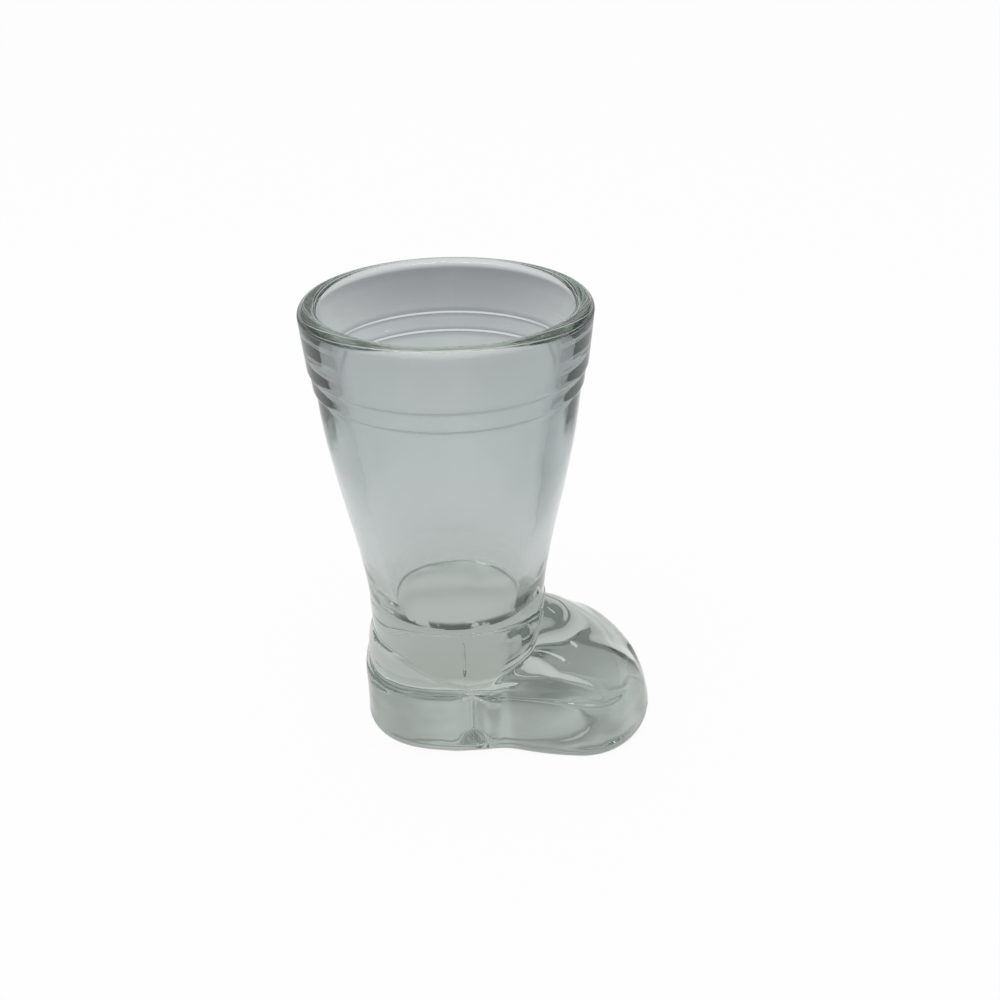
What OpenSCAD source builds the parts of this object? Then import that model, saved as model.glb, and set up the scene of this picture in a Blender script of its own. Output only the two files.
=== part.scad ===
// A small drinking glass in the shape of a boot, pressed from one gather of clear glass.
// The round leg holds the drink. The foot below it is solid and carries the weight.
// Millimetres. The origin is on the leg's axis at the standing face, +Z is up, and the toe points along +X.

/* [Mouth and cuff] */
// Height of the whole glass
height = 85.4; // [78:0.2:94]
// Outside diameter of the mouth
mouth_d = 48.8; // [46:0.2:54]
// Thickness of the wall at the lip
lip_wall = 3.2; // [2.4:0.1:3.6]
// Height of the cuff, from the lip down to the lower ring
cuff_h = 13.5; // [10:0.1:17]
// Height of the narrow band between the two rings
ring_band = 3.3; // [2:0.1:5]
// How far the wall steps in at each ring
ring_step = 0.4; // [0.2:0.05:0.7]
// How far the cuff narrows on each side, from the lip down to the upper ring
cuff_taper = 0.6; // [0.2:0.05:1]

/* [Leg] */
// Diameter of the leg just below the cuff
calf_d = 45.4; // [43:0.2:46]
// Diameter of the leg at the ankle
ankle_d = 33.6; // [31:0.2:36]
// Height of the ankle, where the leg is narrowest
ankle_z = 29; // [27:0.5:33]
// Share of the leg's curve that is a straight cone
leg_straight = 0.35; // [0:0.05:0.6]
// How soon the leg widens above the ankle, where a lower value is sooner
leg_rise = 0.9; // [0.8:0.05:1.1]

/* [Cavity] */
// Height of the cavity floor above the standing face
floor_z = 28; // [24:0.2:31]
// Diameter of the cavity where its wall meets the floor's rounding
floor_d = 24.6; // [22:0.2:27]
// Radius between the cavity's wall and its floor
floor_round = 0.8; // [0.4:0.1:4]

/* [Foot] */
// Length of the heel behind the leg's axis
heel_len = 18.6; // [18:0.1:21]
// Width of the heel
heel_w = 34; // [32:0.2:37]
// Length of the toe in front of the leg's axis
toe_len = 38.4; // [35:0.2:43]
// Width of the sole across the ball of the foot
ball_w = 35.2; // [33:0.2:39]
// Place of the ball of the foot in front of the leg's axis
ball_x = 25; // [23:0.2:27]
// Height of the sole's upper edge along the sides
sole_h = 13.1; // [11:0.1:14]
// How much higher that edge runs round the heel
heel_lift = 1.1; // [0:0.1:1.5]
// How much lower that edge runs towards the toe
toe_drop = 2.5; // [0:0.1:4]
// How far the sole stands out beyond the upper
sole_ledge = 0.55; // [0.3:0.05:1.2]
// Depth of the hollow welt that runs above the sole's edge
welt_depth = 0.35; // [0:0.05:0.6]
// Radius of the sole's lower edge
edge_round = 2.8; // [1.5:0.1:3.5]
// Height of the crease round the leg at the sides of the foot, where it is lowest
crease_z = 17; // [16:0.1:19]
// Height at which the heel meets the leg
heel_top_z = 21.2; // [19:0.1:23]
// Height at which the instep meets the leg
instep_z = 26.1; // [24:0.1:28]
// Depth of the groove between heel and sole
groove_depth = 1.5; // [0.3:0.1:1.8]
// Width of the groove between heel and sole
groove_w = 3.8; // [2:0.1:5]

/* [Hidden] */
glass_colour = [0.78, 0.84, 0.80, 0.55];
mouth_r = mouth_d / 2;
calf_r = calf_d / 2;
ankle_r = ankle_d / 2;
lip_r = lip_wall / 2;
lip_z = height - lip_r;
lower_ring_z = height - cuff_h;
upper_ring_z = lower_ring_z + ring_band;
band_r = mouth_r - cuff_taper - ring_step;
// Height over which the wall steps in at the upper ring, and at the lower one
upper_ring_fall = 0.5;
lower_ring_fall = 0.6;
leg_steps = 20;
lip_steps = 10;
floor_steps = 6;
// The turned leg stands on the foot just above the cavity's rounding
join_gap = 0.5;
join_z = max(ankle_z, floor_z + floor_round) + join_gap;
// The foot's top is this much smaller than the leg that stands on it
join_inset = 0.05;
// Squareness of the heel's plan, and reach of the sole's plan back under the leg
heel_square = 2.55;
shank_reach = 1.29 * ball_x;
waist_blend = 2.5;
// Angles from the toe between which the crease climbs: to the instep, over the vamp and up the heel
instep_half = 35;
vamp_lift = 1;
vamp_from = 40;
vamp_turn = 30;
heel_from = 75;
heel_turn = 55;
// Angles from the toe between which the sole's edge drops to the toe and rises to the heel
sole_toe_from = 20;
sole_heel_from = 60;
sole_turn = 25;
// Bulge of the upper: first towards the wall, then towards the leg, at the toe and at the sides
toe_bulge = [2, 1.15];
side_bulge = [5.2, 3.6];
toe_turn = 100;
// Above the crease the upper runs on inside the leg, and below it the leg is tucked in behind the upper
upper_rise = 0.5;
upper_bury = 1.5;
upper_core_r = ankle_r - upper_bury;
leg_tuck = 1.3;
tuck_fall = 2;
crease_blend = 0.8;
// Height over which the sole's ledge falls away, and height of the welt above it
ledge_fall = 0.8;
welt_w = 2.6;
groove_x = 3.6;
groove_low = 3;
groove_fade = 2;
round_turns = 130;
cut_deep = 3;
wide = 4 * height;

// Radius of the leg's outside at a height between ankle and cuff
function leg_share(t) = leg_straight * t + (1 - leg_straight) * (1 - cos(180 * t)) / 2;
function leg_climb(z) = pow(max(0, (z - ankle_z) / (lower_ring_z - ankle_z)), leg_rise);
function leg_r(z) = ankle_r + (calf_r - ankle_r) * leg_share(leg_climb(z));

// Radius of the cavity at a height above its rounded floor
cavity_r = floor_d / 2;
cavity_low_z = floor_z + floor_round;
cavity_widening = (mouth_r - lip_wall - cavity_r) / (lip_z - cavity_low_z);
function inside_r(z) = cavity_r + cavity_widening * (z - cavity_low_z);

// Half of the section through the hollow leg: up the outside, over the lip and down the inside
leg_top_z = lower_ring_z - lower_ring_fall;
leg_gap = (leg_top_z - join_z) / leg_steps;
leg_outline = [for (i = [0 : leg_steps]) let (z = join_z + leg_gap * i) [leg_r(z), z]];
cuff_outline = [
    [band_r - ring_step / 2, lower_ring_z],
    [band_r, upper_ring_z - upper_ring_fall],
    [band_r + ring_step, upper_ring_z]
];
lip_outline = [for (i = [0 : lip_steps]) let (a = 180 * i / lip_steps)
    [mouth_r - lip_r + lip_r * cos(a), lip_z + lip_r * sin(a)]];

module leg() {
    rotate_extrude($fn = 96)
        polygon(concat(leg_outline, cuff_outline, lip_outline, [[inside_r(join_z), join_z]]));
}

// The lower end of the drink's space, which reaches down into the foot
floor_outline = [for (i = [0 : floor_steps]) let (a = 90 * i / floor_steps)
    [cavity_r - floor_round + floor_round * sin(a), floor_z + floor_round * (1 - cos(a))]];

module cavity_floor() {
    top_z = join_z + cut_deep;
    rotate_extrude($fn = 96)
        polygon(concat([[0, floor_z]], floor_outline, [[inside_r(top_z), top_z], [0, top_z]]));
}

// Plan of the foot, as a distance from the leg's axis at an angle from the toe
function heel_plan(a) = let (
    along = pow(abs(cos(a)) / heel_len, heel_square),
    across = pow(2 * abs(sin(a)) / heel_w, heel_square)
) pow(along + across, -1 / heel_square);
function oval_reach(a, half_len, half_w) = let (
    along = cos(a) / half_len,
    across = sin(a) / half_w,
    spread = along * along + across * across,
    shift = ball_x * along / half_len,
    inside = ball_x * ball_x / (half_len * half_len) - 1
) (shift + sqrt(max(0, shift * shift - spread * inside))) / spread;
function sole_plan(a) = let (front = oval_reach(a, toe_len - ball_x, ball_w / 2))
    front * cos(a) > ball_x ? front : oval_reach(a, shank_reach, ball_w / 2);
function blend(p, q, k) = let (near = max(0, k - abs(p - q)) / k) max(p, q) + near * near * k / 4;
function plan(a) = blend(heel_plan(a), sole_plan(a), waist_blend);

// A soft step from 0 to 1, and a bell of height 1 over a strip of the given width
function smooth(t) = let (c = min(1, max(0, t))) c * c * (3 - 2 * c);
function hump(off, width) = exp(-pow(2 * off / width, 2));

// Height of the crease round the leg: highest at the instep, raised at the heel, lowest at the sides
function instep_share(a) = pow(cos(90 * min(1, abs(a) / instep_half)), 2);
function vamp_share(a) = 1 - smooth((abs(a) - vamp_from) / vamp_turn);
function heel_share(a) = smooth((abs(a) - heel_from) / heel_turn);
function crease(a) = crease_z + vamp_lift * vamp_share(a) + (heel_top_z - crease_z) * heel_share(a)
    + (instep_z - crease_z - vamp_lift) * instep_share(a);

// The upper bulges from the plan up to the crease, as a dome over the toe and squarely at the sides
function frontness(a) = (1 + cos(180 * min(1, abs(a) / toe_turn))) / 2;
function bulge(a, i) = side_bulge[i] + (toe_bulge[i] - side_bulge[i]) * frontness(a);
function upper_r(a, z) = let (
    climb = min(1, max(0, z) / (crease(a) + upper_rise)),
    share = pow(1 - pow(climb, bulge(a, 0)), 1 / bulge(a, 1))
) upper_core_r + (plan(a) - sole_ledge - upper_core_r) * share;

// The sole's edge: a ledge with a hollow welt above it, both fading out at the toe
function sole_edge(a) = sole_h + heel_lift * smooth((abs(a) - sole_heel_from) / sole_turn)
    - toe_drop * (1 - smooth((abs(a) - sole_toe_from) / sole_turn));
function ledge_share(a) = smooth((abs(a) - sole_toe_from / 2) / sole_turn);
function ledge(a, z) = sole_ledge * (1 - ledge_share(a) * smooth((z - sole_edge(a)) / ledge_fall + 0.5));
function welt(a, z) = welt_depth * ledge_share(a) * hump(z - sole_edge(a) - welt_w / 2, welt_w);

// Distance of the foot's skin from the leg's axis, at an angle and a height
function edge_inset(z) = let (below = max(0, edge_round - max(0, z)))
    edge_round - sqrt(edge_round * edge_round - below * below);
function groove_in(a, r, z) = groove_depth * hump(r * cos(a) - groove_x, groove_w)
    * smooth((z - groove_low) / groove_low) * smooth((sole_edge(a) + ledge_fall - z) / groove_fade);
function foot_r(a, z) = let (sole = upper_r(a, z) + ledge(a, z) - welt(a, z))
    sole - edge_inset(z) - groove_in(a, sole, z);

// The leg's lower end reaches down to the crease, and is tucked in below it
function ankle_skin(a, z) = leg_r(z) - join_inset - leg_tuck * smooth((crease(a) - z) / tuck_fall);
function skin_r(a, z) = blend(foot_r(a, z), ankle_skin(a, z), crease_blend);

// Rows of the skin follow its lines: round the lower edge, then to the sole's edge, the crease and the join
edge_rows = [for (a = [0 : 22.5 : 67.5]) edge_round * (1 - cos(a))];
band_rows = [12, 11, 14];
band_steps = [for (band = [0 : 2]) for (i = [0 : band_rows[band] - 1]) [band, i / band_rows[band]]];
function levels(a) = [edge_round, sole_edge(a), crease(a), join_z];
function step_z(a, step) = let (low = levels(a)[step[0]], high = levels(a)[step[0] + 1])
    low + (high - low) * step[1];
function wall_rows(a) = [for (step = band_steps) step_z(a, step)];
function heights(a) = concat([-cut_deep], edge_rows, wall_rows(a), [join_z]);
turns = [for (i = [0 : round_turns - 1]) -180 + 360 * (i + 0.5) / round_turns];
foot_points = concat(
    [for (a = turns) for (z = heights(a)) let (r = skin_r(a, z)) [r * cos(a), r * sin(a), z]],
    [[0, 0, -cut_deep], [0, 0, join_z]]
);
n_rows = len(heights(0));
low_centre = n_rows * round_turns;
function at(row, turn) = (turn % round_turns) * n_rows + row;
foot_faces = concat(
    [for (i = [0 : n_rows - 2]) for (j = [0 : round_turns - 1]) [at(i, j), at(i + 1, j), at(i + 1, j + 1)]],
    [for (i = [0 : n_rows - 2]) for (j = [0 : round_turns - 1]) [at(i, j), at(i + 1, j + 1), at(i, j + 1)]],
    [for (j = [0 : round_turns - 1]) [low_centre, at(0, j), at(0, j + 1)]],
    [for (j = [0 : round_turns - 1]) [low_centre + 1, at(n_rows - 1, j + 1), at(n_rows - 1, j)]]
);

module foot() {
    difference() {
        polyhedron(points = foot_points, faces = foot_faces);
        cavity_floor();
        translate([0, 0, -wide / 2])
            cube(wide, center = true);
    }
}

// One solid: the hollow leg and the solid foot, pressed in one piece
module boot_glass() {
    color(glass_colour)
        union() {
            leg();
            foot();
        }
}

boot_glass();
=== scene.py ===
# %% [markdown]
# # A boot-shaped shot glass
#
# This lesson dresses one pressed shot glass in the shape of a boot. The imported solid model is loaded
# first and stays where it is. It gives the frame: metres, the standing face at height 0, the leg's axis
# on the Z axis and the toe along +X. What we make must stay inside the solid's box, so its box is kept.

# %% Load the frame and keep its box
import math

import bmesh
import bpy
from mathutils import Matrix, Vector


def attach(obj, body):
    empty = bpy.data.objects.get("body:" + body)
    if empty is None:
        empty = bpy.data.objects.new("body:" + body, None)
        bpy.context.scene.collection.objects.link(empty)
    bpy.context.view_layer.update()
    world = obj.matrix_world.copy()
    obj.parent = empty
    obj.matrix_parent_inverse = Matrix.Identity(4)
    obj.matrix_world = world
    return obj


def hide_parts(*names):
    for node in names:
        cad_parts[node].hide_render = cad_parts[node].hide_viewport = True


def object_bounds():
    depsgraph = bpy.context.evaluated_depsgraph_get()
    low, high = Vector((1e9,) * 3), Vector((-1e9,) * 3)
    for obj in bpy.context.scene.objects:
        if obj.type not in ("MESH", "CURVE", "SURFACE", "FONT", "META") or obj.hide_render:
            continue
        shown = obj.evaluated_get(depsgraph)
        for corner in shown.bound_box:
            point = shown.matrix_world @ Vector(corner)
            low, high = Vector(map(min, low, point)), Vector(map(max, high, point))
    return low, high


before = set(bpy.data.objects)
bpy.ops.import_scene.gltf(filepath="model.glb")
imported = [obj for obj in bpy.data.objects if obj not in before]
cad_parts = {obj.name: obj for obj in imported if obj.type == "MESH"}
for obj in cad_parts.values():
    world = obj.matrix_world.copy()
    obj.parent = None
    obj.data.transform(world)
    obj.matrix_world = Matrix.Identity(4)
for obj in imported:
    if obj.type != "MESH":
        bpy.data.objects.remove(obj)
cad_low, cad_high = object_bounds()
MM = 0.001
print("solids:", *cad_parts, "box in mm:", [round(v / MM, 2) for v in (*cad_low, *cad_high)])

# %% [markdown]
# ## The camera
#
# The camera stands about 20 cm from the glass and 5 cm above its mouth, looking down on it. Its place,
# tilt and lens were measured from the round mouth and the foot's outline in the picture. A camera looks
# along its own -Z, so it is first rolled, then tilted up from straight down, then turned about the
# vertical. Aiming it with a Track To constraint would be quicker, but multiplying the three matrices
# keeps the order plain to see and the roll exact.

# %% Camera
CAMERA_PLACE = Vector((13.90, -158.84, 137.68)) * MM
CAMERA_TURN = math.radians(1.964)
CAMERA_DIP = math.radians(29.704)
CAMERA_ROLL = math.radians(-0.69)
SENSOR_WIDTH = 36
LENS_LENGTH = 36
NEAREST_SEEN = 10 * MM

camera_data = bpy.data.cameras.new("camera")
camera_data.sensor_width = SENSOR_WIDTH
camera_data.lens = LENS_LENGTH
camera_data.clip_start = NEAREST_SEEN
camera = bpy.data.objects.new("camera", camera_data)
camera.matrix_world = (
    Matrix.Translation(CAMERA_PLACE)
    @ Matrix.Rotation(CAMERA_TURN, 4, "Z")
    @ Matrix.Rotation(math.pi / 2 - CAMERA_DIP, 4, "X")
    @ Matrix.Rotation(CAMERA_ROLL, 4, "Z")
)
bpy.context.scene.collection.objects.link(camera)
bpy.context.scene.camera = camera
print("camera stands", round(CAMERA_PLACE.length / MM), "mm from the middle of the foot")

# %% [markdown]
# ## A small class for node formulas
#
# Both the shape and the finish below are node trees. Drawing them by hand would take dozens of Math nodes
# that nobody can read, so this class wraps one socket: `a * b + 1` then adds the Math nodes by itself.
# Its one method `node` makes any other node from a type, its settings and what goes into its sockets.

# %% Wire: sockets with arithmetic
class Wire:
    """One output socket of a node tree, on which Python arithmetic adds Math nodes."""

    def __init__(self, tree, socket=None):
        self.tree = tree
        self.socket = socket

    def node(self, kind, settings=None, values=None, out=0):
        """Adds a node; the settings "stops" and "blend" are a colour ramp's stops and interpolation."""
        made = self.tree.nodes.new(kind)
        for name, value in (settings or {}).items():
            if name == "stops":
                ramp = made.color_ramp.elements
                for number, (place, colour) in enumerate(value):
                    stop = ramp[number] if number < len(ramp) else ramp.new(place)
                    stop.position = place
                    stop.color = colour
            elif name == "blend":
                made.color_ramp.interpolation = value
            else:
                setattr(made, name, value)
        for key, value in (values or {}).items():
            if isinstance(value, Wire):
                self.tree.links.new(value.socket, made.inputs[key])
            else:
                made.inputs[key].default_value = value
        return Wire(self.tree, made.outputs[out] if made.outputs else None)

    def maths(self, operation, *others):
        return self.node("ShaderNodeMath", {"operation": operation}, dict(enumerate((self, *others))))

    def into(self, node, key):
        self.tree.links.new(self.socket, node.inputs[key])

    def __add__(self, other):
        return self.maths("ADD", other)

    def __sub__(self, other):
        return self.maths("SUBTRACT", other)

    def __mul__(self, other):
        return self.maths("MULTIPLY", other)

    def __truediv__(self, other):
        return self.maths("DIVIDE", other)

    def __pow__(self, other):
        return self.maths("POWER", other)

    def __rsub__(self, other):
        return self * -1 + other

    def __rtruediv__(self, other):
        return self**-1 * other

    def __abs__(self):
        return self.maths("ABSOLUTE")

    __radd__ = __add__
    __rmul__ = __mul__


print("a Wire takes + - * / ** and abs")

# %% Soft steps and soft corners
def ease(t):
    """0 below 0, 1 above 1, and a smooth step between."""
    return t.node("ShaderNodeMapRange", {"interpolation_type": "SMOOTHSTEP"}, {"Value": t})


def between(place, start, rise, stop, fall):
    """1 between two places in mm, with a smooth rise after the first and a smooth fall before the last."""
    return ease((place - start * MM) / (rise * MM)) * ease((stop * MM - place) / (fall * MM))


def soft_max(p, q, reach):
    """The larger of two lengths, with the corner between them rounded."""
    return p.maths("SMOOTH_MAX", q, reach)


print("three helpers: ease, between and soft_max")

# %% [markdown]
# ## The section line of the glass
#
# The leg of the boot is turned: every height has one radius. The foot isn't, but it too can be written as
# a distance from the leg's axis that changes with height and angle. So the whole skin is one sheet of
# rows and turns, wrapped round the axis: out along the base, up the foot and the leg, over the lip, and
# down inside to the middle of the cup's floor. A Screw modifier could turn the leg, but the foot would
# then be a second mesh, and glass needs one closed skin with no seam between the two.
#
# The section line is a plain mesh of points joined by edges. Each point keeps three numbers in place of a
# position: the leg's radius there, the share of the foot's reach (0 where the row is simply turned), and
# the height. On the foot, the height is a level: -1 is the base, 0 the top of its rounded edge, 1 the
# sole's edge, 2 the crease round the ankle and 3 the ankle itself. Rows lie close where the shape is
# fine, as on the rings and the lip, and wide elsewhere.

# %% Sizes of the turned part, in mm
HEIGHT = cad_high.z / MM
MOUTH_R = cad_high.y / MM
LIP_WALL = 3.2
CUFF_H = 13.5
RING_BAND = 3.3
RING_STEP = 0.4
UPPER_RING_FALL = 0.5
LOWER_RING_FALL = 0.6
CUFF_TAPER = 0.6
CALF_R = 22.7
ANKLE_R = 16.8
ANKLE_Z = 29.0
LEG_STRAIGHT = 0.35
LEG_RISE = 0.9
FLOOR_Z = 28.0
CAVITY_R = 12.3
FLOOR_ROUND = 0.8

LIP_R = LIP_WALL / 2
LIP_Z = HEIGHT - LIP_R
LOWER_RING_Z = HEIGHT - CUFF_H
UPPER_RING_Z = LOWER_RING_Z + RING_BAND
BAND_HIGH_R = MOUTH_R - CUFF_TAPER - RING_STEP
BAND_LOW_R = BAND_HIGH_R - RING_STEP / 2
CUP_LOW_Z = FLOOR_Z + FLOOR_ROUND
print(f"{HEIGHT:.1f} mm high, {2 * MOUTH_R:.1f} mm across the mouth")

# %% Rows of the foot
BASE_SHARES = (0.12, 0.25, 0.4, 0.55, 0.7, 0.82, 0.92)
EDGE_ROWS = 10
SOLE_ROWS = 40
UPPER_ROWS = 44
ANKLE_ROWS = 36


def steps(low, high, count):
    """Evenly spaced values from low up to, and without, high."""
    return [low + (high - low) * i / count for i in range(count)]


edge_levels = [-math.cos(a) for a in steps(0, math.pi / 2, EDGE_ROWS)]
foot_levels = steps(0, 1, SOLE_ROWS) + steps(1, 2, UPPER_ROWS) + steps(2, 3, ANKLE_ROWS)
foot_rows = [(ANKLE_R, share, -1) for share in BASE_SHARES]
foot_rows += [(ANKLE_R, 1, level) for level in edge_levels + foot_levels]
print(len(foot_rows), "rows from the base to the ankle")

# %% Rows of the leg, the rings and the cuff
LEG_ROWS = 44
RING_ROWS = 6
BAND_ROWS = 5
CUFF_ROWS = 10


def swell(t):
    """Half a cosine wave, from 0 to 1."""
    return (1 - math.cos(math.pi * t)) / 2


def leg_radius(z):
    """Outside radius of the leg between the ankle and the cuff."""
    t = max(0.0, (z - ANKLE_Z) / (LOWER_RING_Z - ANKLE_Z)) ** LEG_RISE
    return ANKLE_R + (CALF_R - ANKLE_R) * (LEG_STRAIGHT * t + (1 - LEG_STRAIGHT) * swell(t))


def ring_rows(z, low_r, high_r, fall):
    """A ring: the wall steps out from low_r to high_r in a short soft S, ending at height z."""
    return [(low_r + (high_r - low_r) * swell(t), 0, z - fall * (1 - t)) for t in steps(0, 1, RING_ROWS)]


def straight_rows(low, high, count):
    """Rows on a straight line between two points, each given as radius and height."""
    (low_r, low_z), (high_r, high_z) = low, high
    return [(low_r + (high_r - low_r) * t, 0, low_z + (high_z - low_z) * t) for t in steps(0, 1, count)]


turned_rows = [(leg_radius(z), 0, z) for z in steps(ANKLE_Z, LOWER_RING_Z - LOWER_RING_FALL, LEG_ROWS)]
turned_rows += ring_rows(LOWER_RING_Z, CALF_R, BAND_LOW_R, LOWER_RING_FALL)
turned_rows += straight_rows(
    (BAND_LOW_R, LOWER_RING_Z), (BAND_HIGH_R, UPPER_RING_Z - UPPER_RING_FALL), BAND_ROWS
)
turned_rows += ring_rows(UPPER_RING_Z, BAND_HIGH_R, BAND_HIGH_R + RING_STEP, UPPER_RING_FALL)
turned_rows += straight_rows((BAND_HIGH_R + RING_STEP, UPPER_RING_Z), (MOUTH_R, LIP_Z), CUFF_ROWS)
print(len(turned_rows), "rows from the ankle to the lip")

# %% Rows of the lip and the cup
LIP_ROWS = 18
CUP_ROWS = 34
CORNER_ROWS = 12
FLOOR_SHARES = (1, 0.8, 0.6, 0.4, 0.2, 0)

lip_rows = [
    (MOUTH_R - LIP_R + LIP_R * math.cos(a), 0, LIP_Z + LIP_R * math.sin(a))
    for a in steps(0, math.pi, LIP_ROWS)
]
cup_rows = straight_rows((MOUTH_R - LIP_WALL, LIP_Z), (CAVITY_R, CUP_LOW_Z), CUP_ROWS)
corner_rows = [
    (CAVITY_R - FLOOR_ROUND * (1 - math.cos(a)), 0, CUP_LOW_Z - FLOOR_ROUND * math.sin(a))
    for a in steps(0, math.pi / 2, CORNER_ROWS)
]
floor_rows = [((CAVITY_R - FLOOR_ROUND) * share, 0, FLOOR_Z) for share in FLOOR_SHARES]
turned_rows += lip_rows + cup_rows + corner_rows + floor_rows
print(len(turned_rows), "rows with the lip and the cup")

# %% The section line as a mesh
section_points = [(0, 0, 0)]
section_points += [(r * MM, share, level) for r, share, level in foot_rows]
section_points += [(r * MM, share, z * MM) for r, share, z in turned_rows]
section = bpy.data.meshes.new("section line")
section.from_pydata(section_points, [(i, i + 1) for i in range(len(section_points) - 1)], [])
glass = bpy.data.objects.new("boot_glass_skin", section)
bpy.context.scene.collection.objects.link(glass)
print(len(section_points), "rows in the section line")

# %% [markdown]
# ## The foot's formula in Geometry Nodes
#
# The foot of the glass is solid, with a heel, a sole, a toe and an instep. It could be sculpted from a box
# with a subdivision surface, but its shape follows a rule, so a Geometry Nodes tree can hold it, with the
# foot's sizes as named inputs. Anyone can then try another heel or toe without touching a vertex.
#
# The rule: the plan is a squared heel blended into a longer oval sole. Above it the upper bulges inwards
# as it climbs to a crease round the leg, which is highest at the instep. The sole stands out as a small
# ledge, and a groove on each side parts heel from sole. Where the leg is wider than the foot, the leg
# shows, with a soft corner between them.

# %% Foot sizes in mm
SIZES_MM = {
    "Heel length": 18.6,
    "Heel width": 34.0,
    "Toe length": 38.4,
    "Ball width": 35.2,
    "Ball place": 25.0,
    "Shank reach": 32.25,
    "Waist blend": 3.75,
    "Sole height": 13.1,
    "Heel lift": 1.1,
    "Toe drop": 2.5,
    "Sole ledge": 0.55,
    "Ledge fall": 0.8,
    "Welt depth": 0.35,
    "Welt width": 2.6,
    "Edge round": 2.8,
    "Side crease": 17.0,
    "Vamp lift": 1.0,
    "Heel top": 21.2,
    "Instep top": 26.1,
    "Upper rise": 0.5,
    "Leg tuck": 1.3,
    "Tuck fall": 2.0,
    "Crease blend": 1.2,
    "Fold depth": 0.35,
    "Fold gap": 2.4,
    "Upper bury": 1.5,
    "Ankle radius": ANKLE_R,
    "Ankle height": ANKLE_Z,
    "Groove depth": 1.5,
    "Groove width": 3.8,
    "Groove place": 3.6,
    "Groove low": 3.0,
    "Seam place": 2.6,
    "Seam height": 0.3,
    "Seam width": 0.5,
    "Shoulder height": 0.6,
    "Shoulder width": 3.0,
    "Ridge height": 0.8,
    "Ridge width": 1.8,
    "Ridge place": 13.2,
    "Leg waviness": 0.08,
    "Foot waviness": 0.45,
}
print(len(SIZES_MM), "sizes describe the foot")

# %% The tree and its named inputs
tree = bpy.data.node_groups.new("boot glass skin", "GeometryNodeTree")
tree.is_modifier = True
tree.interface.new_socket("Section", in_out="INPUT", socket_type="NodeSocketGeometry")
size_sockets = {}
for size_name in SIZES_MM:
    size_sockets[size_name] = tree.interface.new_socket(
        size_name, in_out="INPUT", socket_type="NodeSocketFloat"
    )
turns_socket = tree.interface.new_socket("Turns", in_out="INPUT", socket_type="NodeSocketInt")
finish_socket = tree.interface.new_socket("Finish", in_out="INPUT", socket_type="NodeSocketMaterial")
tree.interface.new_socket("Skin", in_out="OUTPUT", socket_type="NodeSocketGeometry")
ins = tree.nodes.new("NodeGroupInput")
outs = tree.nodes.new("NodeGroupOutput")
size = {name: Wire(tree, ins.outputs[name]) for name in SIZES_MM}
start = Wire(tree)
print(len(ins.outputs) - 1, "inputs feed the foot's tree")

# %% [markdown]
# ### Rows and turns
#
# A grid has one vertex for each row and turn. Its row number looks up the section line with Sample Index,
# and its turn gives the angle from the toe. A curve with a profile would make the same sheet, but then
# every row would have the same shape, and the foot needs its own reach at every angle.

# %% Rows and turns of the sheet
turns = Wire(tree, ins.outputs["Turns"])
section_line = Wire(tree, ins.outputs["Section"])
row_count = start.node(
    "GeometryNodeAttributeDomainSize", {"component": "MESH"}, {"Geometry": section_line}
)
grid = start.node("GeometryNodeMeshGrid", values={"Vertices X": row_count, "Vertices Y": turns + 1})
index = start.node("GeometryNodeInputIndex")
row = (index / (turns + 1)).maths("FLOOR")
turn = index - row * (turns + 1)
angle = turn / turns * math.tau - math.pi
cos_a = angle.maths("COSINE")
sin_a = angle.maths("SINE")
away = abs(angle)
section_place = start.node("GeometryNodeInputPosition")
looked_up = start.node(
    "GeometryNodeSampleIndex",
    {"data_type": "FLOAT_VECTOR", "domain": "POINT"},
    {"Geometry": section_line, "Value": section_place, "Index": row},
)
turned_r, foot_share, level = [
    start.node("ShaderNodeSeparateXYZ", values={"Vector": looked_up}, out=i) for i in range(3)
]
on_foot = foot_share.maths("GREATER_THAN", 0)
print(len(tree.nodes), "nodes once every vertex knows its row and turn")

# %% [markdown]
# ### The plan, and the lines that run round the foot
#
# Seen from above, a boot's heel is a rounded square and its sole an oval, so one is a superellipse and
# the other an ellipse with a rounder front. Both are written as a distance from the leg's axis, and the
# larger one counts. Two lines run round the foot at heights that change with the angle: the sole's edge,
# and the crease where the upper meets the leg. The sheet's rows follow both lines, so they stay sharp
# with few faces, which an even grid of heights wouldn't give.

# %% Plan of the foot
HEEL_SQUARE = 2.55


def oval_reach(centre, half_length, half_width):
    """Distance from the leg's axis to an oval whose centre lies ahead of it, towards the toe."""
    along = cos_a / half_length
    across = sin_a / half_width
    spread = along * along + across * across
    shift = centre * along / half_length
    inside = centre * centre / (half_length * half_length) - 1
    root = (shift * shift - spread * inside).maths("MAXIMUM", 0).maths("SQRT")
    return (shift + root) / spread


heel_along = (abs(cos_a) / size["Heel length"]) ** HEEL_SQUARE
heel_across = (abs(sin_a) * 2 / size["Heel width"]) ** HEEL_SQUARE
heel_plan = (heel_along + heel_across) ** (-1 / HEEL_SQUARE)
toe_oval = oval_reach(size["Ball place"], size["Toe length"] - size["Ball place"], size["Ball width"] / 2)
shank_oval = oval_reach(size["Ball place"], size["Shank reach"], size["Ball width"] / 2)
in_toe = (toe_oval * cos_a).maths("GREATER_THAN", size["Ball place"])
sole_plan = shank_oval + (toe_oval - shank_oval) * in_toe
plan = soft_max(heel_plan, sole_plan, size["Waist blend"])
print(len(tree.nodes), "nodes with the plan")

# %% The crease round the leg, and the sole's edge
INSTEP_HALF = math.radians(35)
HEEL_RISE_FROM = math.radians(75)
HEEL_RISE_OVER = math.radians(55)
VAMP_FROM = math.radians(40)
VAMP_OVER = math.radians(30)
SOLE_HEEL_FROM = math.radians(60)
SOLE_TOE_FROM = math.radians(20)
SOLE_TURN = math.radians(25)

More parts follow.
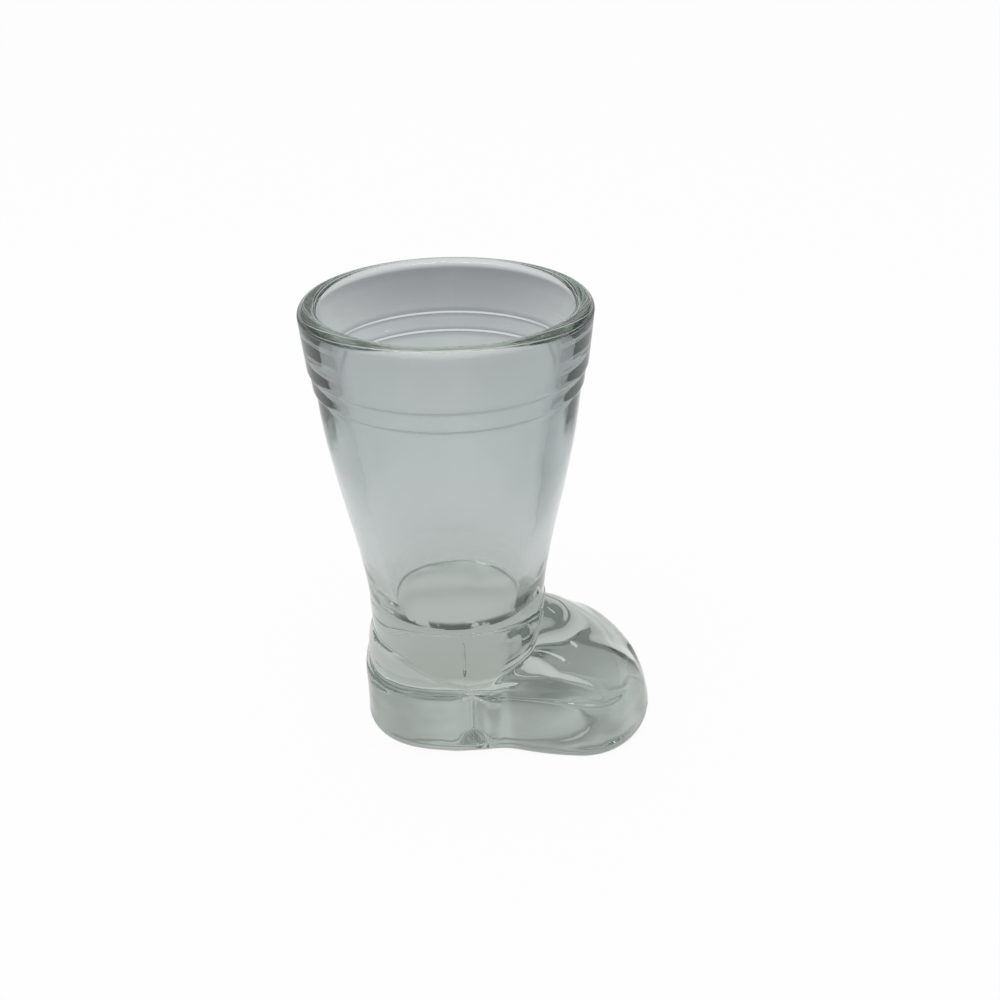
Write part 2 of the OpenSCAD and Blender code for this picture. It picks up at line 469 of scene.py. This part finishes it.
instep_share = ((away / INSTEP_HALF).maths("MINIMUM", 1) * (math.pi / 2)).maths("COSINE") ** 2
heel_share = ease((away - HEEL_RISE_FROM) / HEEL_RISE_OVER)
vamp_share = 1 - ease((away - VAMP_FROM) / VAMP_OVER)
crease = (
    size["Side crease"]
    + size["Vamp lift"] * vamp_share
    + (size["Instep top"] - size["Side crease"] - size["Vamp lift"]) * instep_share
    + (size["Heel top"] - size["Side crease"]) * heel_share
)
sole_edge = (
    size["Sole height"]
    + size["Heel lift"] * ease((away - SOLE_HEEL_FROM) / SOLE_TURN)
    - size["Toe drop"] * (1 - ease((away - SOLE_TOE_FROM) / SOLE_TURN))
)
print(len(tree.nodes), "nodes with the foot's lines")

# %% Height of each row: the foot's rows follow its lines
to_sole, to_crease, to_ankle = [
    start.node("ShaderNodeClamp", values={"Value": level - number}) for number in range(3)
]
foot_z = (
    size["Edge round"] * (level.maths("MINIMUM", 0) + 1)
    + (sole_edge - size["Edge round"]) * to_sole
    + (crease - sole_edge) * to_crease
    + (size["Ankle height"] - crease) * to_ankle
)
z = level + (foot_z - level) * on_foot
print(len(tree.nodes), "nodes with the height of each row")

# %% [markdown]
# ### The upper of the boot
#
# Above the sole, the upper of the boot leans in like a dome: steep at the sides and the heel, and in a
# long slope over the toe. One curve with two exponents does that, and the exponents change with the angle.
# A pressed boot also has a soft shoulder along each side of the toe and a short ridge beside the instep,
# which catch the light. Both are low bells laid along a line, because a bell has no edge to smooth.

# %% The upper's bulge
TOE_TURN = math.radians(100)
TOE_BULGE = (2.0, 1.15)
SIDE_BULGE = (5.2, 3.6)

frontness = ((away / TOE_TURN).maths("MINIMUM", 1) * math.pi).maths("COSINE") * 0.5 + 0.5
bulge_out, bulge_in = [
    frontness * (toe - side) + side for toe, side in zip(TOE_BULGE, SIDE_BULGE, strict=True)
]
climb = (z / (crease + size["Upper rise"])).maths("MINIMUM", 1)
core = size["Ankle radius"] - size["Upper bury"]
bulged = core + (plan - size["Sole ledge"] - core) * (1 - climb**bulge_out) ** (1 / bulge_in)
print(len(tree.nodes), "nodes with the upper")

# %% Shoulders of the toe and the ridges beside the instep
SHOULDER_TIP = 39.9
SHOULDER_SLOPE = 0.42
SHOULDER_SPAN = (20, 4, 37, 4)
RIDGE_SPAN = (15.5, 2, 30, 4)


def hump(off, width):
    """A bell of height 1 over a strip of the given width."""
    share = off / (width / 2)
    return (share * share * -1).maths("EXPONENT")


upper_x = bulged * cos_a
upper_y = abs(bulged * sin_a)
shoulder_y = (SHOULDER_TIP * MM - upper_x) * SHOULDER_SLOPE
shoulder = size["Shoulder height"] * hump(upper_y - shoulder_y, size["Shoulder width"])
shoulder = shoulder * between(upper_x, *SHOULDER_SPAN)
ridge = size["Ridge height"] * hump(upper_y - size["Ridge place"], size["Ridge width"])
ridge = ridge * between(upper_x, *RIDGE_SPAN)
print(len(tree.nodes), "nodes with shoulders and ridges")

# %% [markdown]
# ### The sole
#
# The sole stands out from the upper as a small ledge with a shallow welt above it, like the sewn edge of
# a leather boot. Its lower edge is rounded, as the mould leaves it, and a groove on each side shows where
# the heel ends. They could be cut with booleans, but here each is only a length that is added to the
# foot's reach or taken from it, so the sheet stays one clean grid.

# %% Sole ledge and welt, rounded edge and groove
GROOVE_FADE = 2

ledge_share = ease((away - SOLE_TOE_FROM / 2) / SOLE_TURN)
ledge = size["Sole ledge"] * (1 - ledge_share * ease((z - sole_edge) / size["Ledge fall"] + 0.5))
welt = size["Welt depth"] * ledge_share * hump(z - sole_edge - size["Welt width"] / 2, size["Welt width"])
below = (size["Edge round"] - z).maths("MAXIMUM", 0)
edge_inset = size["Edge round"] - (size["Edge round"] * size["Edge round"] - below * below).maths("SQRT")
sole = bulged + ledge - welt + shoulder + ridge
groove = (
    size["Groove depth"]
    * hump(sole * cos_a - size["Groove place"], size["Groove width"])
    * ease((z - size["Groove low"]) / size["Groove low"])
    * ease((sole_edge + size["Ledge fall"] - z) / (GROOVE_FADE * MM))
)
foot_reach = sole - edge_inset - groove
print(len(tree.nodes), "nodes with the sole")

# %% [markdown]
# ### Foot and leg together
#
# The larger of foot and leg shows, with a soft corner, and the leg tucks in a little where the foot meets
# it. Small folds run along the crease, as leather has there, and a thin raised seam shows on each side
# where the halves of the mould met. The last touch is a slow ripple: hot glass leaves the mould with a
# skin that isn't quite even, more so on the thick foot, and what shows through it bends with it. The
# ripple only ever takes away, so the skin stays inside the solid's box, and it fades out at the base and
# the lip, which are true.

# %% Corner, folds and seam
FOLD_FALL = 2.0
SEAM_SPAN = (5, 2, 29, 3)

tuck = size["Leg tuck"] * ease((crease - z) / size["Tuck fall"])
joined = soft_max(foot_reach, turned_r - tuck, size["Crease blend"])
fold_off = (z - crease) / size["Fold gap"]
folds = (
    size["Fold depth"]
    * (fold_off * math.tau).maths("COSINE")
    * (fold_off * fold_off * -FOLD_FALL).maths("EXPONENT")
    * vamp_share
)
seam = size["Seam height"] * hump(joined * cos_a - size["Seam place"], size["Seam width"])
skin = joined - folds + seam * between(z, *SEAM_SPAN)
reach = turned_r + (skin * foot_share - turned_r) * on_foot
print(len(tree.nodes), "nodes with folds and seam")

# %% Ripple of the skin
CALM_SPAN = (0.5, 4, LIP_Z - 3, 8)
CALM_POLE = 1
CALM_POLE_RISE = 4
FOOT_RIPPLE_TOP = 28
FOOT_RIPPLE_FADE = 8
RIPPLE_SCALE = 150.0
RIPPLE_DETAIL = 1.0

calm = between(z, *CALM_SPAN) * ease((reach - CALM_POLE * MM) / (CALM_POLE_RISE * MM))
in_foot = foot_share * ease((FOOT_RIPPLE_TOP * MM - z) / (FOOT_RIPPLE_FADE * MM))
waviness = size["Leg waviness"] + (size["Foot waviness"] - size["Leg waviness"]) * in_foot
true_skin = start.node("ShaderNodeCombineXYZ", values={"X": reach * cos_a, "Y": reach * sin_a, "Z": z})
ripple = start.node(
    "ShaderNodeTexNoise",
    values={"Vector": true_skin, "Scale": RIPPLE_SCALE, "Detail": RIPPLE_DETAIL},
    out="Fac",
)
wavy = reach - ripple * waviness * calm
print(len(tree.nodes), "nodes with the ripple")

# %% The finished tree
MERGE_DISTANCE = 0.004 * MM

wrapped = start.node("ShaderNodeCombineXYZ", values={"X": wavy * cos_a, "Y": wavy * sin_a, "Z": z})
sheet = start.node("GeometryNodeSetPosition", values={"Geometry": grid, "Position": wrapped})
closed = start.node("GeometryNodeMergeByDistance", values={"Geometry": sheet, "Distance": MERGE_DISTANCE})
smooth = start.node("GeometryNodeSetShadeSmooth", values={"Geometry": closed})
real = start.node("GeometryNodeRealizeInstances", values={"Geometry": smooth})
finish_input = Wire(tree, ins.outputs["Finish"])
finished = start.node("GeometryNodeSetMaterial", values={"Geometry": real, "Material": finish_input})
finished.into(outs, "Skin")
print(len(tree.nodes), "nodes in the foot's tree")

# %% [markdown]
# ## The finish: clear pressed glass
#
# The real glass is clear with a faint grey-green cast that deepens in the solid foot. A Principled shader
# with full transmission bends the light, its base colour tints each crossing of the skin, and a plain
# absorbing volume deepens the colour with depth. A Glass shader would bend light as well, but the
# Principled one also goes out to other programs.
#
# The tint isn't the same all over. Beyond the glass's own faint cast it is painted shade: the greys that
# a room round clear glass would show through it. On the outside it follows the height: palest at the lip,
# greyer on the cuff, and deepest at the ankle, where the wall turns into solid glass. Inside the cup it
# stays almost clear, with a little painted shade over the front of the floor and round its back corner.
# One formula tells the two sides of the wall apart: a cone through the middle of the wall.

# %% Coordinates, and which side of the wall
WALL_MIDDLE = ((29 * MM, 14.5 * MM), (84 * MM, 22.9 * MM))

finish = bpy.data.materials.new("clear_glass")
finish.use_nodes = True
finish.node_tree.nodes.clear()
paint = Wire(finish.node_tree)
coords = paint.node("ShaderNodeTexCoord", out="Object")
across, deep, tall = [
    paint.node("ShaderNodeSeparateXYZ", values={"Vector": coords}, out=i) for i in range(3)
]
radius = (across * across + deep * deep).maths("SQRT")
(low_z, low_r), (high_z, high_r) = WALL_MIDDLE
wall_slope = (high_r - low_r) / (high_z - low_z)
wall_middle = (tall - low_z) * wall_slope + low_r
in_cup = wall_middle.maths("GREATER_THAN", radius)
print("the middle of the wall leans out by", round(wall_slope, 3))

# %% Tint and painted shade of the skin, by height and by side
WHITE = (1.0, 1.0, 1.0, 1)
# Beyond a faint grey-green cast, these stops are painted shade: darker where clear glass would show a grey
# room.
OUTER_CAST_AND_SHADE_TINTS = (
    (0.005, WHITE),
    (0.03, (0.565, 0.59, 0.56, 1)),
    (0.17, (0.565, 0.59, 0.56, 1)),
    (0.22, (0.43, 0.455, 0.43, 1)),
    (0.28, (0.44, 0.465, 0.445, 1)),
    (0.36, (0.495, 0.52, 0.51, 1)),
    (0.52, (0.535, 0.575, 0.575, 1)),
    (0.80, (0.455, 0.50, 0.50, 1)),
    (0.985, (0.46, 0.49, 0.49, 1)),
    (0.997, (0.92, 0.94, 0.93, 1)),
)
CUP_FRONT_CAST_AND_SHADE_TINTS = ((0.33, (0.93, 0.94, 0.92, 1)), (0.37, WHITE))
CUP_BACK_CAST_AND_SHADE_TINTS = ((0.337, WHITE), (0.342, (0.88, 0.90, 0.89, 1)), (0.47, WHITE))
BACK_FADE = 8 * MM
CLOUD_SCALE = 45.0
CLOUD_DETAIL = 2.0
CLOUD_SHIFT = 0.01


def noise(scale, detail):
    """Noise over the glass, from 0 to 1."""
    values = {"Vector": coords, "Scale": scale, "Detail": detail}
    return paint.node("ShaderNodeTexNoise", values=values, out="Fac")


def tints(stops, share):
    """The colour of a ramp at a share of the glass's height."""
    return paint.node("ShaderNodeValToRGB", {"stops": stops}, {"Fac": share}, out="Color")


def mixed(factor, first, second):
    """One colour blended into another."""
    values = {"Factor": factor, "A": first, "B": second}
    return paint.node("ShaderNodeMix", {"data_type": "RGBA"}, values, out="Result")


height_share = tall / (HEIGHT * MM)
cloudy_share = height_share + (noise(CLOUD_SCALE, CLOUD_DETAIL) - 0.5) * CLOUD_SHIFT
to_back = ease((deep + BACK_FADE) / (2 * BACK_FADE))
cup_cast_and_shade = mixed(to_back, tints(CUP_FRONT_CAST_AND_SHADE_TINTS, cloudy_share), tints(CUP_BACK_CAST_AND_SHADE_TINTS, height_share))
colour = mixed(in_cup, tints(OUTER_CAST_AND_SHADE_TINTS, cloudy_share), cup_cast_and_shade)
print(len(OUTER_CAST_AND_SHADE_TINTS), "stops tint the outside")

# %% [markdown]
# ### Gloss, the cup's floor and a painted shade at its front edge
#
# Pressed glass is never quite even. A fine noise keeps the gloss from being perfect, and a gentle bump
# makes the skin wavy beyond what the mesh holds. The plunger that presses the cup chills its floor, which
# comes out a little frosted, so the floor is rougher than the rest. A dark, broken band at the floor's
# front edge is painted shade: the shade that the view through the bent glass shows there. A darker base
# colour can't draw that band, because glass that mirrors light from inside takes no tint from it, so a
# matt shader is mixed in on the front of the edge, broken up by a noise.

# %% Gloss and bump
FILM_SCALE = 320.0
FILM_DETAIL = 3.0
FILM_ROUGHNESS = 0.012
FLOOR_BOTTOM = (FLOOR_Z - 1) * MM
FLOOR_TOP = CUP_LOW_Z * MM
FLOOR_ROUGHNESS = 0.4
WAVE_SCALE = 95.0
WAVE_DETAIL = 1.0
WAVE_STRENGTH = 0.25
WAVE_HEIGHT = 0.15 * MM

on_floor = in_cup * tall.maths("LESS_THAN", FLOOR_TOP) * tall.maths("GREATER_THAN", FLOOR_BOTTOM)
roughness = noise(FILM_SCALE, FILM_DETAIL) * FILM_ROUGHNESS + on_floor * FLOOR_ROUGHNESS
bump = paint.node(
    "ShaderNodeBump",
    values={
        "Height": noise(WAVE_SCALE, WAVE_DETAIL),
        "Strength": WAVE_STRENGTH,
        "Distance": WAVE_HEIGHT,
    },
    out="Normal",
)
print("roughness up to", FILM_ROUGHNESS, "and", FLOOR_ROUGHNESS, "more on the cup's floor")

# %% Painted shade at the floor's front edge
SHADE_BAND_TINT = (0.20, 0.23, 0.20, 1)
SHADE_BAND_SHARE = 0.9
SHADE_BAND_SPAN = (FLOOR_Z, 0.2, CUP_LOW_Z + 1.6, 1.2)
SHADE_BAND_FRONT = 6
SHADE_BAND_FRONT_FADE = 4
GRAIN_SCALE = 380.0
GRAIN_DETAIL = 2.0
GRAIN_FROM = 0.40
GRAIN_OVER = 0.1

# Painted shade: a dark matt band on the front of the floor's edge only, broken up by a noise.
shade_band_mask = (
    in_cup
    * between(tall, *SHADE_BAND_SPAN)
    * ease((deep * -1 - SHADE_BAND_FRONT * MM) / (SHADE_BAND_FRONT_FADE * MM))
    * ease((noise(GRAIN_SCALE, GRAIN_DETAIL) - GRAIN_FROM) / GRAIN_OVER)
)
painted_shade_band = paint.node("ShaderNodeBsdfDiffuse", values={"Color": SHADE_BAND_TINT})
print("the mark hides up to", SHADE_BAND_SHARE, "of the glass")

# %% The glass shader and its absorbing inside
GLASS_IOR = 1.5
ABSORB_COLOUR = (0.04, 0.18, 0.08, 1)
ABSORB_DENSITY = 10.0

clear = paint.node(
    "ShaderNodeBsdfPrincipled",
    values={
        "Base Color": colour,
        "Roughness": roughness,
        "Normal": bump,
        "IOR": GLASS_IOR,
        "Transmission Weight": 1.0,
    },
)
surface = paint.node("ShaderNodeMixShader", values={0: shade_band_mask * SHADE_BAND_SHARE, 1: clear, 2: painted_shade_band})
depth_tint = paint.node(
    "ShaderNodeVolumeAbsorption", values={"Color": ABSORB_COLOUR, "Density": ABSORB_DENSITY}
)
paint.node("ShaderNodeOutputMaterial", values={"Surface": surface, "Volume": depth_tint})
print("glass bends light by", GLASS_IOR)

# %% [markdown]
# ## From tree to mesh
#
# The modifier's inputs are set through their sockets' identifiers before anything looks at the object.
# The evaluated result then becomes a plain mesh and the modifier goes, because other programs know
# nothing of Geometry Nodes. The faces are turned outwards, and open edges are counted: glass with a hole
# in its skin would fill the room with its absorbing inside. Last, the skin takes the place of the solid.

# %% Turn the tree into a plain mesh
TURNS = 300

modifier = glass.modifiers.new("skin", "NODES")
modifier.node_group = tree
for size_name, socket in size_sockets.items():
    modifier[socket.identifier] = SIZES_MM[size_name] * MM
modifier[turns_socket.identifier] = TURNS
modifier[finish_socket.identifier] = finish
bpy.context.view_layer.update()
evaluated = glass.evaluated_get(bpy.context.evaluated_depsgraph_get())
skin_mesh = bpy.data.meshes.new_from_object(evaluated)
glass.modifiers.remove(modifier)
glass.data = skin_mesh
skin_mesh.materials.clear()
skin_mesh.materials.append(finish)
skin_mesh.polygons.foreach_set("material_index", [0] * len(skin_mesh.polygons))
print(len(skin_mesh.vertices), "vertices,", len(skin_mesh.polygons), "faces")

# %% Turn the faces outwards and look for open edges
CM3_IN_M3 = 1e6

bm = bmesh.new()
bm.from_mesh(skin_mesh)
bmesh.ops.recalc_face_normals(bm, faces=bm.faces)
open_edges = sum(not edge.is_manifold for edge in bm.edges)
volume = bm.calc_volume(signed=True)
bm.to_mesh(skin_mesh)
bm.free()
print("open edges:", open_edges, "volume in cm3:", round(volume * CM3_IN_M3, 2))

# %% Put the skin in the solid's place
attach(glass, "root")
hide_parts("boot_glass")
print(glass.name, "stands for boot_glass")

# %% [markdown]
# ## The floor
#
# The glass stands on a plain white floor that reaches past everything the camera sees. For rays from the
# camera, from mirrors and through glass it is mostly an even white, and for all others a matt white, so
# no extra light falls on the glass and its shadow stays. Clear glass shows only what is round it, and a
# floor of one white would leave it with no tones. So a pool of light is painted into the floor's glow:
# seen through the glass, the floor is white near by and painted greyer behind and to the sides.

# %% Floor
FLOOR_HALF = 6.0
FLOOR_DROP = 0.1 * MM

floor_mesh = bpy.data.meshes.new("floor")
corners = [(-FLOOR_HALF, -FLOOR_HALF), (FLOOR_HALF, -FLOOR_HALF)]
corners += [(FLOOR_HALF, FLOOR_HALF), (-FLOOR_HALF, FLOOR_HALF)]
floor_mesh.from_pydata([(x, y, -FLOOR_DROP) for x, y in corners], [], [(0, 1, 2, 3)])
floor = bpy.data.objects.new("floor", floor_mesh)
bpy.context.scene.collection.objects.link(floor)
print("floor", 2 * FLOOR_HALF, "m wide")

# %% Floor paint, with a painted pool of light
FLOOR_COLOUR = (0.95, 0.95, 0.95, 1)
FLOOR_WHITE_SHARE = 0.95
FLOOR_PAINTED_SHADE_TONES = ((0.10, WHITE), (0.28, (0.35, 0.36, 0.38, 1)), (0.80, (0.70, 0.71, 0.73, 1)))
SIDE_GAIN = 3.33
SIDE_SHIFT = 0.01
SIDE_START = 0.10
SIDE_MOST = 0.19
SIDE_SOFT = 0.05

floor_paint = bpy.data.materials.new("white_floor")
floor_paint.use_nodes = True
floor_paint.node_tree.nodes.clear()
ground = Wire(floor_paint.node_tree)
path = ground.node("ShaderNodeLightPath")
straight, mirrored, through = [
    Wire(path.tree, path.socket.node.outputs[f"Is {kind} Ray"])
    for kind in ("Camera", "Glossy", "Transmission")
]
seen = straight.maths("MAXIMUM", mirrored.maths("MAXIMUM", through))
floor_place = ground.node("ShaderNodeTexCoord", out="Object")
beside, behind = [
    ground.node("ShaderNodeSeparateXYZ", values={"Vector": floor_place}, out=i) for i in range(2)
]
# Painted shade: for rays that are not the camera's, the glow fades from white near the glass to grey
# further off.
sideways = abs(beside + SIDE_SHIFT) * SIDE_GAIN - SIDE_START
sideways = sideways.maths("SMOOTH_MIN", SIDE_MOST, SIDE_SOFT)
far = behind.maths("MAXIMUM", sideways) * (1 - straight)
painted_pool_of_light = ground.node("ShaderNodeValToRGB", {"blend": "EASE", "stops": FLOOR_PAINTED_SHADE_TONES}, {"Fac": far}, out="Color")
matt = ground.node("ShaderNodeBsdfDiffuse", values={"Color": FLOOR_COLOUR})
glow_with_painted_shade = ground.node("ShaderNodeEmission", values={"Color": painted_pool_of_light, "Strength": 1.0})
both = ground.node("ShaderNodeMixShader", values={0: seen * FLOOR_WHITE_SHARE, 1: matt, 2: glow_with_painted_shade})
ground.node("ShaderNodeOutputMaterial", values={"Surface": both})
floor_mesh.materials.append(floor_paint)
print(len(ground.tree.nodes), "nodes paint the floor")

# %% [markdown]
# ## The light
#
# The light is a soft dome, as in a small studio: bright overhead, greyer lower down, and a little brighter
# on the heel's side. That grey draws the darker edges of the leg and foot. Low round the horizon it turns
# into a white wall, which carries on the white of the floor. Three soft glows stand for windows or lamps
# behind paper, and one dark card takes light away, as a photographer's black card does. They sit where
# the foot's facets bend our view to, so each one lightens or darkens its own facets. A ready-made sky
# picture would be quicker, but it couldn't be aimed.
#
# A long strip lamp high in front adds the thin bright lines along the ridges and the lip. It is narrow,
# because glass shows a lamp's own shape as a reflection.

# %% Dome
SKY_TONES = (
    (0.05, (0.48, 0.49, 0.50, 1)),
    (0.40, (0.52, 0.53, 0.54, 1)),
    (0.95, (0.85, 0.86, 0.87, 1)),
)
SKY_LEAN = 0.25

world = bpy.data.worlds.new("studio")
bpy.context.scene.world = world
world.use_nodes = True
world.node_tree.nodes.clear()
sky = Wire(world.node_tree)
direction = sky.node("ShaderNodeTexCoord", out="Generated")
aside = sky.node("ShaderNodeSeparateXYZ", values={"Vector": direction}, out=0)
up = sky.node("ShaderNodeSeparateXYZ", values={"Vector": direction}, out=2)
dome = sky.node("ShaderNodeValToRGB", {"stops": SKY_TONES}, {"Fac": up - aside * SKY_LEAN}, out="Color")
print(len(SKY_TONES), "tones up the dome")

# %% Glows, dark card and white wall
GLOWS = (
    ((-0.03, 0.754, 0.656), 30.0, 0.68),
    ((0.45, 0.58, 0.68), 40.0, 0.25),
    ((-0.60, 0.55, 0.58), 30.0, 0.45),
)
CARD_TOWARD = (0.05, 0.571, 0.819)
CARD_SHARPNESS = 40.0
CARD_SHADE = 0.48
WALL_TOP = 0.13
WALL_FADE = 0.05


def spot(toward, sharpness):
    """A soft round spot on the dome: 1 in its middle, and 0 well away from it."""
    values = {0: direction, 1: toward}
    facing = sky.node("ShaderNodeVectorMath", {"operation": "DOT_PRODUCT"}, values, out="Value")
    return facing.maths("MAXIMUM", 0) ** sharpness


glow = 1 - CARD_SHADE * spot(CARD_TOWARD, CARD_SHARPNESS)
for toward, sharpness, gain in GLOWS:
    glow = glow * (1 + gain * spot(toward, sharpness))
studio = sky.node("ShaderNodeBackground", values={"Color": dome, "Strength": glow})
wall = sky.node("ShaderNodeBackground", values={"Color": WHITE, "Strength": 1.0})
on_wall = 1 - ease((up - WALL_TOP) / WALL_FADE)
backdrop = sky.node("ShaderNodeMixShader", values={0: on_wall, 1: studio, 2: wall})
sky.node("ShaderNodeOutputWorld", values={"Surface": backdrop})
print(len(GLOWS), "glows and a dark card on the dome")

# %% Strip lamp
STRIP_LENGTH = 0.8
STRIP_WIDTH = 0.045
STRIP_RADIANCE = 6.5
STRIP_PLACE = (-0.1, -0.22, 0.62)
STRIP_TILT = math.radians(20)

strip_data = bpy.data.lights.new("strip", "AREA")
strip_data.shape = "RECTANGLE"
strip_data.size = STRIP_LENGTH
strip_data.size_y = STRIP_WIDTH
strip_data.energy = STRIP_RADIANCE * math.pi * STRIP_LENGTH * STRIP_WIDTH
strip = bpy.data.objects.new("strip", strip_data)
strip.matrix_world = Matrix.Translation(STRIP_PLACE) @ Matrix.Rotation(STRIP_TILT, 4, "X")
bpy.context.scene.collection.objects.link(strip)
print("strip lamp of", round(strip_data.energy, 2), "W")

# %% [markdown]
# ## Colours and light paths
#
# The Standard view shows a colour as it is written, where a filmic one would turn white paper grey. A ray
# in glass can be mirrored dozens of times inside the wall before it gets out, most of all in the lip. If
# it runs out of bounces first, it brings back black, so the limit is high.

# %% Colours and light paths
LIGHT_BOUNCES = 40

bpy.context.scene.view_settings.view_transform = "Standard"
cycles = bpy.context.scene.cycles
cycles.max_bounces = LIGHT_BOUNCES
cycles.transmission_bounces = LIGHT_BOUNCES
cycles.glossy_bounces = LIGHT_BOUNCES
print("rays may bounce", LIGHT_BOUNCES, "times")

# %% [markdown]
# ## Sizes
#
# The skin must not be larger than the solid that it stands for, or the part would no longer fit where the
# solid does.

# %% Update the scene
bpy.context.view_layer.update()
